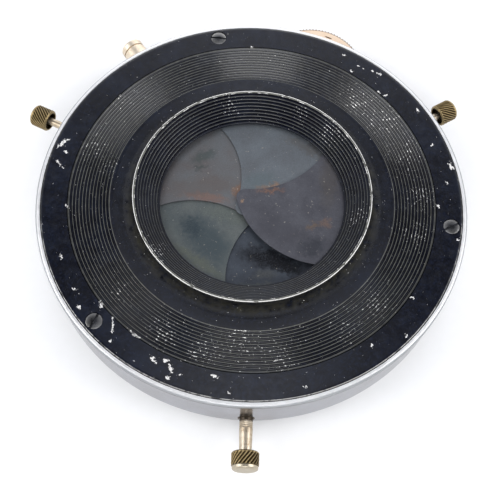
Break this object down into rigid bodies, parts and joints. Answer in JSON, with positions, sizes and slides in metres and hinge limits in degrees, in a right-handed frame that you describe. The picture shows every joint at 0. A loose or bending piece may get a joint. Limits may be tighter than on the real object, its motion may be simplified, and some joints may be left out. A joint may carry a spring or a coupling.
{
  "type": "leaf shutter",
  "caption": "Round leaf shutter with blades closed in a ridged rear collar, grooved dark cover, bright drum wall, radial finger knobs and an edge wheel.",
  "frame": {"origin": "optical axis, in the plane of the front barrel's rim that the part rests on", "axes": "+Z along the optical axis towards the rear, where the blades show; -Y towards the iris knob"},
  "size_m": [0.1278, 0.1392, 0.0275],
  "materials": {
    "nickelled_wall": "nickel plate, polished, rubbed bright on the rim",
    "black_enamel": "black enamel over brass, chipped on the ridges",
    "black_screws": "blackened steel screws, worn",
    "plate_brass": "satin brass",
    "ring_brass": "satin brass",
    "keeper_steel": "spring steel",
    "pin_steel": "turned steel",
    "front_enamel": "black enamel",
    "barrel_nickel": "nickel plate",
    "pillar_brass": "turned brass",
    "stem_nickel": "worn nickel over brass",
    "knob_brass": "knurled brass, browned in the knurl",
    "lever_steel": "ground steel",
    "socket_nickel": "worn nickel over brass",
    "wheel_copper": "copper-toned nickel silver, worn",
    "train_brass": "cut brass",
    "spring_steel": "blued spring wire",
    "blade_steel": "blued steel, oiled and stained",
    "leaf_steel": "blackened steel"
  },
  "bodies": {
    "case": {"case_drum": "nickelled_wall", "rear_cover": "black_enamel", "cover_screws": "black_screws", "mechanism_plate": "plate_brass", "blade_ring_keeper": "keeper_steel", "iris_ring_keeper": "keeper_steel", "blade_pivot_pins": "pin_steel", "iris_pivot_pins": "pin_steel", "front_plate": "front_enamel", "front_barrel": "barrel_nickel", "pillars": "pillar_brass", "front_screws": "black_screws", "plate_screws": "pin_steel", "iris_shaft_bush": "pillar_brass", "cocking_stud": "pin_steel", "release_stud": "pin_steel", "wheel_stud": "pin_steel", "cable_socket": "socket_nickel", "retard_bridge": "plate_brass", "mainspring": "spring_steel", "release_spring": "spring_steel", "click_spring": "spring_steel", "spring_posts": "pin_steel"},
    "blade_ring": {"blade_ring": "ring_brass"},
    "iris_ring": {"iris_ring": "ring_brass"},
    "iris_control": {"iris_shaft": "stem_nickel", "iris_knob": "knob_brass"},
    "cocking": {"cocking_lever": "lever_steel", "cocking_stem": "stem_nickel", "cocking_knob": "knob_brass"},
    "release": {"release_lever": "lever_steel", "release_stem": "stem_nickel", "release_knob": "knob_brass"},
    "plunger": {"cable_plunger": "pin_steel"},
    "wheel": {"speed_wheel": "wheel_copper", "speed_cam": "lever_steel"},
    "train_wheel_1": {"retard_wheel_1": "train_brass"},
    "train_wheel_2": {"retard_wheel_2": "train_brass"},
    "star": {"star_wheel": "lever_steel"},
    "pallet_body": {"pallet": "lever_steel"},
    "shutter_blade_1_body": {"shutter_blade_1": "blade_steel"},
    "shutter_blade_2_body": {"shutter_blade_2": "blade_steel"},
    "shutter_blade_3_body": {"shutter_blade_3": "blade_steel"},
    "shutter_blade_4_body": {"shutter_blade_4": "blade_steel"},
    "shutter_blade_5_body": {"shutter_blade_5": "blade_steel"},
    "iris_leaf_1_body": {"iris_leaf_1": "leaf_steel"},
    "iris_leaf_2_body": {"iris_leaf_2": "leaf_steel"},
    "iris_leaf_3_body": {"iris_leaf_3": "leaf_steel"},
    "iris_leaf_4_body": {"iris_leaf_4": "leaf_steel"},
    "iris_leaf_5_body": {"iris_leaf_5": "leaf_steel"}
  },
  "joints": [
    {"name": "blade_ring_turn", "type": "hinge", "parent": "case", "child": "blade_ring", "pos_m": [0, 0, 0.0162], "axis": [0, 0, 1], "range_deg": [-8.45, 0], "stiffness_Nm_per_rad": 0.02},
    {"name": "shutter_blade_1_swing", "type": "hinge", "parent": "case", "child": "shutter_blade_1_body", "pos_m": [0.03617, 0.01708, 0.0195], "axis": [0, 0, 1], "range_deg": [0, 42.78]},
    {"name": "shutter_blade_2_swing", "type": "hinge", "parent": "case", "child": "shutter_blade_2_body", "pos_m": [-0.00507, 0.03968, 0.0195], "axis": [0, 0, 1], "range_deg": [0, 42.78]},
    {"name": "shutter_blade_3_swing", "type": "hinge", "parent": "case", "child": "shutter_blade_3_body", "pos_m": [-0.0393, 0.00744, 0.0195], "axis": [0, 0, 1], "range_deg": [0, 42.78]},
    {"name": "shutter_blade_4_swing", "type": "hinge", "parent": "case", "child": "shutter_blade_4_body", "pos_m": [-0.01922, -0.03508, 0.0195], "axis": [0, 0, 1], "range_deg": [0, 42.78]},
    {"name": "shutter_blade_5_swing", "type": "hinge", "parent": "case", "child": "shutter_blade_5_body", "pos_m": [0.02742, -0.02912, 0.0195], "axis": [0, 0, 1], "range_deg": [0, 42.78]},
    {"name": "iris_ring_turn", "type": "hinge", "parent": "case", "child": "iris_ring", "pos_m": [0, 0, 0.0129], "axis": [0, 0, 1], "range_deg": [0, 6.42]},
    {"name": "iris_leaf_1_swing", "type": "hinge", "parent": "case", "child": "iris_leaf_1_body", "pos_m": [0.01922, 0.03508, 0.011], "axis": [0, 0, 1], "range_deg": [-32.51, 0]},
    {"name": "iris_leaf_2_swing", "type": "hinge", "parent": "case", "child": "iris_leaf_2_body", "pos_m": [-0.02742, 0.02912, 0.011], "axis": [0, 0, 1], "range_deg": [-32.51, 0]},
    {"name": "iris_leaf_3_swing", "type": "hinge", "parent": "case", "child": "iris_leaf_3_body", "pos_m": [-0.03617, -0.01708, 0.011], "axis": [0, 0, 1], "range_deg": [-32.51, 0]},
    {"name": "iris_leaf_4_swing", "type": "hinge", "parent": "case", "child": "iris_leaf_4_body", "pos_m": [0.00507, -0.03968, 0.011], "axis": [0, 0, 1], "range_deg": [-32.51, 0]},
    {"name": "iris_leaf_5_swing", "type": "hinge", "parent": "case", "child": "iris_leaf_5_body", "pos_m": [0.0393, -0.00744, 0.011], "axis": [0, 0, 1], "range_deg": [-32.51, 0]},
    {"name": "iris_knob_turn", "type": "hinge", "parent": "case", "child": "iris_control", "pos_m": [0.00126, -0.05999, 0.0104], "axis": [0.0209, -0.9998, 0], "range_deg": [-267.73, 0]},
    {"name": "cocking_turn", "type": "hinge", "parent": "case", "child": "cocking", "pos_m": [0.03783, 0.02438, 0.0158], "axis": [0, 0, 1], "range_deg": [0, 30], "stiffness_Nm_per_rad": 0.01},
    {"name": "train_wheel_1_turn", "type": "hinge", "parent": "case", "child": "train_wheel_1", "pos_m": [0.04382, 0.01398, 0.015], "axis": [0, 0, 1], "range_deg": [-150, 0]},
    {"name": "train_wheel_2_turn", "type": "hinge", "parent": "case", "child": "train_wheel_2", "pos_m": [0.04544, 0.00717, 0.015], "axis": [0, 0, 1], "range_deg": [0, 375]},
    {"name": "star_turn", "type": "hinge", "parent": "case", "child": "star", "pos_m": [0.04598, 0.0012, 0.015], "axis": [0, 0, 1], "range_deg": [-750, 0]},
    {"name": "pallet_rock", "type": "hinge", "parent": "case", "child": "pallet_body", "pos_m": [0.04583, -0.004, 0.0146], "axis": [0, 0, 1], "range_deg": [-5, 5]},
    {"name": "release_turn", "type": "hinge", "parent": "case", "child": "release", "pos_m": [-0.04307, 0.01882, 0.0158], "axis": [0, 0, 1], "range_deg": [-7, 0], "stiffness_Nm_per_rad": 0.01},
    {"name": "plunger_slide", "type": "slide", "parent": "case", "child": "plunger", "axis": [-0.585, 0.8111, 0], "range_m": [-0.0029, 0]},
    {"name": "speed_wheel_turn", "type": "hinge", "parent": "case", "child": "wheel", "pos_m": [0.01662, 0.05054, 0.0147], "axis": [0, 0, 1], "range_deg": [0, 300]}
  ],
  "couplings": [
    {"joint": "shutter_blade_1_swing", "follows": "blade_ring_turn", "ratio": -5.0606},
    {"joint": "shutter_blade_2_swing", "follows": "blade_ring_turn", "ratio": -5.0606},
    {"joint": "shutter_blade_3_swing", "follows": "blade_ring_turn", "ratio": -5.0606},
    {"joint": "shutter_blade_4_swing", "follows": "blade_ring_turn", "ratio": -5.0606},
    {"joint": "shutter_blade_5_swing", "follows": "blade_ring_turn", "ratio": -5.0606},
    {"joint": "iris_leaf_1_swing", "follows": "iris_ring_turn", "ratio": -5.0606},
    {"joint": "iris_leaf_2_swing", "follows": "iris_ring_turn", "ratio": -5.0606},
    {"joint": "iris_leaf_3_swing", "follows": "iris_ring_turn", "ratio": -5.0606},
    {"joint": "iris_leaf_4_swing", "follows": "iris_ring_turn", "ratio": -5.0606},
    {"joint": "iris_leaf_5_swing", "follows": "iris_ring_turn", "ratio": -5.0606},
    {"joint": "iris_knob_turn", "follows": "iris_ring_turn", "ratio": -41.667},
    {"joint": "train_wheel_1_turn", "follows": "cocking_turn", "ratio": -5},
    {"joint": "train_wheel_2_turn", "follows": "cocking_turn", "ratio": 12.5},
    {"joint": "star_turn", "follows": "cocking_turn", "ratio": -25},
    {"joint": "plunger_slide", "follows": "release_turn", "m_per_rad": 0.023737}
  ]
}
